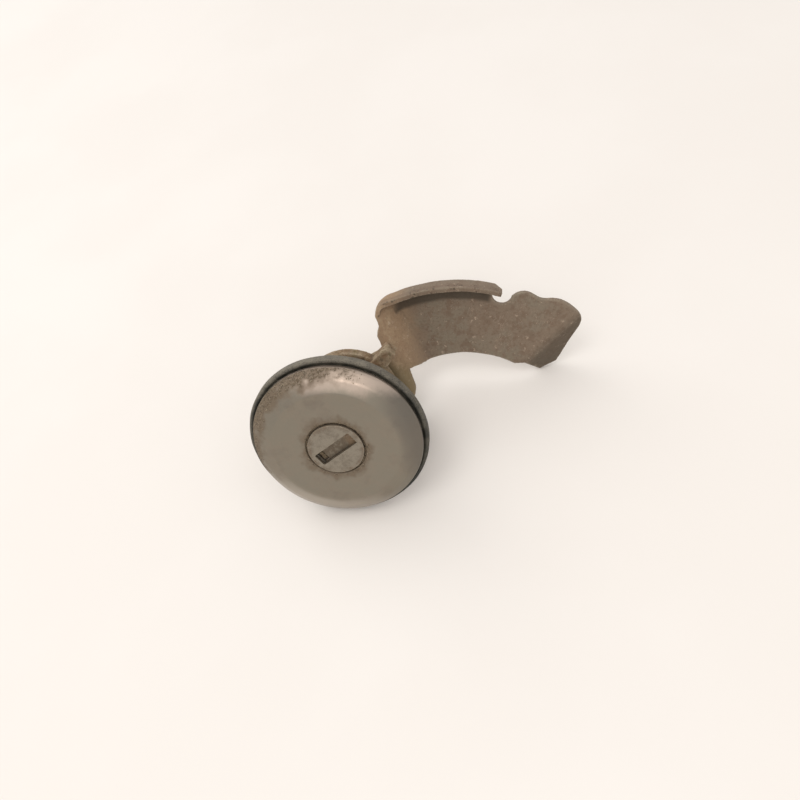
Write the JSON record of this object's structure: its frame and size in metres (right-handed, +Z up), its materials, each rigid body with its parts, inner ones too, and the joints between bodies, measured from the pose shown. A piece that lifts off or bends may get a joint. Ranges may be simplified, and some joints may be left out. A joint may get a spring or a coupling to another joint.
{
  "type": "keyed lid lock cylinder with lever",
  "caption": "Round capped lock cylinder with a rubber gasket, a slotted plug behind a dust shutter, and a long folded lever arm that turns with the key.",
  "frame": {"origin": "centre of the bounding box's bottom, on the bench the lock lies on, resting on the gasket's edge, the housing's rear ring and the lever's tip", "axes": "+Z up from the bench; the lock's axis lies in the YZ plane with the cap facing -Y and tipped up 23.7 degrees; the lever reaches towards +X"},
  "size_m": [0.0852, 0.0528, 0.0411],
  "materials": {
    "satin_stainless": "worn satin stainless steel with grime along the edges",
    "black_rubber": "aged matt black rubber",
    "corroded_zinc": "corroded die-cast zinc with brown dirt",
    "plug_zinc": "dull die-cast zinc",
    "dull_brass": "dull stamped brass",
    "spring_steel": "dull spring steel",
    "rusty_steel": "zinc-plated pressed steel, worn and rusted"
  },
  "bodies": {
    "case": {"face_cap": "satin_stainless", "gasket": "black_rubber", "housing": "corroded_zinc"},
    "core": {"plug": "plug_zinc", "plug_cover": "satin_stainless", "shutter_pin": "spring_steel", "shutter_spring": "spring_steel", "plug_seal": "black_rubber", "lever_arm": "rusty_steel", "thrust_washer": "spring_steel", "tail_washer": "spring_steel", "retaining_clip": "spring_steel", "wafer_spring_1": "spring_steel", "wafer_spring_2": "spring_steel", "wafer_spring_3": "spring_steel", "wafer_spring_4": "spring_steel", "wafer_spring_5": "spring_steel", "wafer_spring_6": "spring_steel"},
    "dust_flap": {"shutter": "rusty_steel"},
    "tumbler_1": {"wafer_1": "dull_brass"},
    "tumbler_2": {"wafer_2": "dull_brass"},
    "tumbler_3": {"wafer_3": "dull_brass"},
    "tumbler_4": {"wafer_4": "dull_brass"},
    "tumbler_5": {"wafer_5": "dull_brass"},
    "tumbler_6": {"wafer_6": "dull_brass"}
  },
  "joints": [
    {"name": "plug_turn", "type": "hinge", "parent": "case", "child": "core", "pos_m": [-0.02028, -0.00634, 0.01678], "axis": [0, -0.9159, 0.4015], "range_deg": [0, 90]},
    {"name": "shutter_swing", "type": "hinge", "parent": "core", "child": "dust_flap", "pos_m": [-0.01922, -0.019, 0.02053], "axis": [-0.8415, -0.2169, -0.4948], "range_deg": [0, 70], "stiffness_Nm_per_rad": 0.0004, "springref_deg": -34.38},
    {"name": "wafer_1_slide", "type": "slide", "parent": "core", "child": "tumbler_1", "axis": [-0.8415, -0.2169, -0.4948], "range_m": [0, 0.0012], "stiffness_N_per_m": 250, "springref_m": -0.0016, "deforming": ["wafer_spring_1"]},
    {"name": "wafer_2_slide", "type": "slide", "parent": "core", "child": "tumbler_2", "axis": [0.8415, 0.2169, 0.4948], "range_m": [0, 0.0012], "stiffness_N_per_m": 250, "springref_m": -0.0016, "deforming": ["wafer_spring_2"]},
    {"name": "wafer_3_slide", "type": "slide", "parent": "core", "child": "tumbler_3", "axis": [-0.8415, -0.2169, -0.4948], "range_m": [0, 0.0012], "stiffness_N_per_m": 250, "springref_m": -0.0016, "deforming": ["wafer_spring_3"]},
    {"name": "wafer_4_slide", "type": "slide", "parent": "core", "child": "tumbler_4", "axis": [0.8415, 0.2169, 0.4948], "range_m": [0, 0.0012], "stiffness_N_per_m": 250, "springref_m": -0.0016, "deforming": ["wafer_spring_4"]},
    {"name": "wafer_5_slide", "type": "slide", "parent": "core", "child": "tumbler_5", "axis": [-0.8415, -0.2169, -0.4948], "range_m": [0, 0.0012], "stiffness_N_per_m": 250, "springref_m": -0.0016, "deforming": ["wafer_spring_5"]},
    {"name": "wafer_6_slide", "type": "slide", "parent": "core", "child": "tumbler_6", "axis": [0.8415, 0.2169, 0.4948], "range_m": [0, 0.0012], "stiffness_N_per_m": 250, "springref_m": -0.0016, "deforming": ["wafer_spring_6"]}
  ]
}
